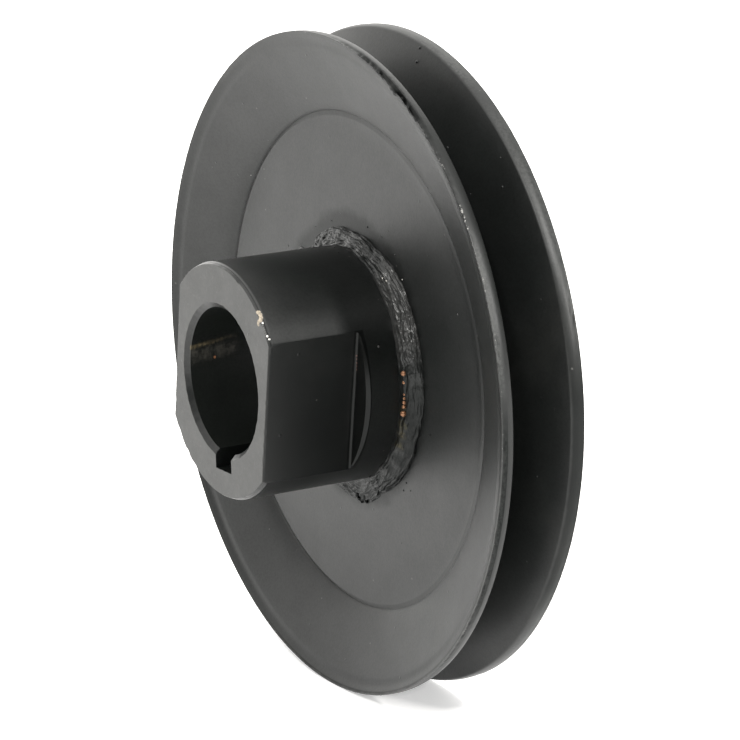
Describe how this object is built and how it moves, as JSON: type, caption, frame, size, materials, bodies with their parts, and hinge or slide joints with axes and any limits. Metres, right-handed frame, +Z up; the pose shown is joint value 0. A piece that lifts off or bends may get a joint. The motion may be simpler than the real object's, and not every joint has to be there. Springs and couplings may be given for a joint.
{
  "type": "v belt pulley",
  "caption": "V-belt pulley pressed from sheet steel, with a deep groove and a long welded hub that has a keyed bore and wrench flats.",
  "frame": {"origin": "on the bore axis, in the middle of the belt groove, where the webs of the two sheave halves meet", "axes": "+Z up, with the keyway straight down at -Z; the bore runs along Y and the long nose of the hub points to -Y"},
  "size_m": [0.13, 0.0401, 0.13],
  "materials": {
    "sheave_paint": "satin black paint over pressed steel",
    "hub_paint": "thin satin black paint over turned steel",
    "weld_paint": "gloss black paint over rippled weld metal",
    "weld_metal": "bare steel, hidden between the webs"
  },
  "bodies": {
    "root": {"hub": "hub_paint", "front_sheave_half": "sheave_paint", "rear_sheave_half": "sheave_paint", "front_weld_right_run": "weld_paint", "front_weld_left_run": "weld_paint", "rear_weld_right_run": "weld_paint", "rear_weld_left_run": "weld_paint", "spot_weld_nuggets": "weld_metal"}
  },
  "joints": []
}
